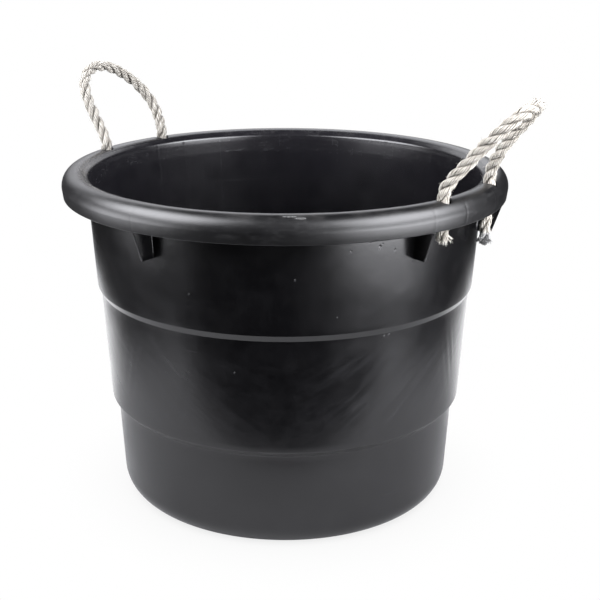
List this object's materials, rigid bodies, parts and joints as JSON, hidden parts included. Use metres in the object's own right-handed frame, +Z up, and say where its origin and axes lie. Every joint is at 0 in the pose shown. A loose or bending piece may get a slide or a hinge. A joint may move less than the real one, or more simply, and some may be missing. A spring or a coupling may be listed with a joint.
{
  "type": "mortar mixing tub",
  "caption": "Round stepped plastic tub for mixing and carrying mortar, with a rolled rim and two knotted rope loop handles.",
  "frame": {"origin": "centre of the flat underside of the base", "axes": "+Z up along the tub's axis; +X towards the middle of the right rope handle, -X towards the left one; +Y completes the right-handed frame"},
  "size_m": [0.6697, 0.56, 0.5367],
  "materials": {
    "black_plastic": "moulded polyethylene, soft satin sheen, scuffed and slightly dusty",
    "rope": "three-strand laid rope, off-white with grey grime in the grooves, hairy, frayed ends"
  },
  "bodies": {
    "tub": {"tub_shell": "black_plastic"},
    "rope_right_ends": {"rope_right_end_front": "rope", "rope_right_end_rear": "rope"},
    "rope_right_loop": {"rope_right_loop": "rope"},
    "rope_left_ends": {"rope_left_end_front": "rope", "rope_left_end_rear": "rope"},
    "rope_left_loop": {"rope_left_loop": "rope"}
  },
  "joints": [
    {"name": "right_rope_lift", "type": "slide", "parent": "tub", "child": "rope_right_ends", "axis": [0, 0, 1], "range_m": [0, 0.005]},
    {"name": "right_handle_swing", "type": "hinge", "parent": "rope_right_ends", "child": "rope_right_loop", "pos_m": [0.25818, 0, 0.432], "axis": [0, 1, 0], "range_deg": [-115, 55], "stiffness_Nm_per_rad": 0.05},
    {"name": "left_rope_lift", "type": "slide", "parent": "tub", "child": "rope_left_ends", "axis": [0, 0, 1], "range_m": [0, 0.005]},
    {"name": "left_handle_swing", "type": "hinge", "parent": "rope_left_ends", "child": "rope_left_loop", "pos_m": [-0.25818, 0, 0.432], "axis": [0, -1, 0], "range_deg": [-115, 60], "stiffness_Nm_per_rad": 0.05}
  ]
}
